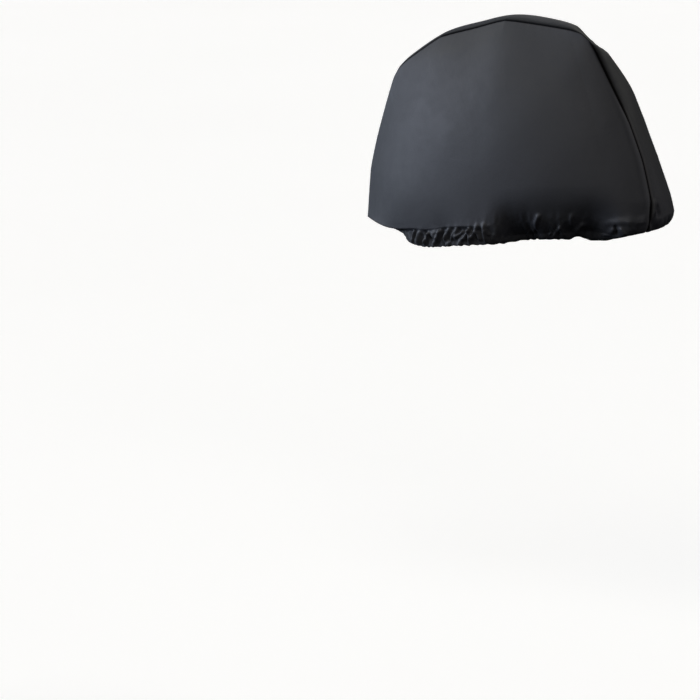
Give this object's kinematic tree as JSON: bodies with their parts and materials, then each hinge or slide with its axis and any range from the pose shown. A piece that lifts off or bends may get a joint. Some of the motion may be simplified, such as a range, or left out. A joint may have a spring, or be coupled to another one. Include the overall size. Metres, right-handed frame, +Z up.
{
  "type": "outboard motor cover",
  "caption": "Soft fitted cover for the head of a small portable outboard motor, with two side panels, a centre strip and a hem gathered by elastic.",
  "frame": {"origin": "underside of the cloth in the middle of the top, where the cover rests on the motor's hood", "axes": "+X aft, -Y port (the side seen in the picture), +Z up"},
  "size_m": [0.5024, 0.2422, 0.3511],
  "materials": {
    "cloth": "satin"
  },
  "bodies": {
    "root": {"panel_near": "cloth", "panel_far": "cloth", "centre_strip": "cloth"}
  },
  "joints": []
}
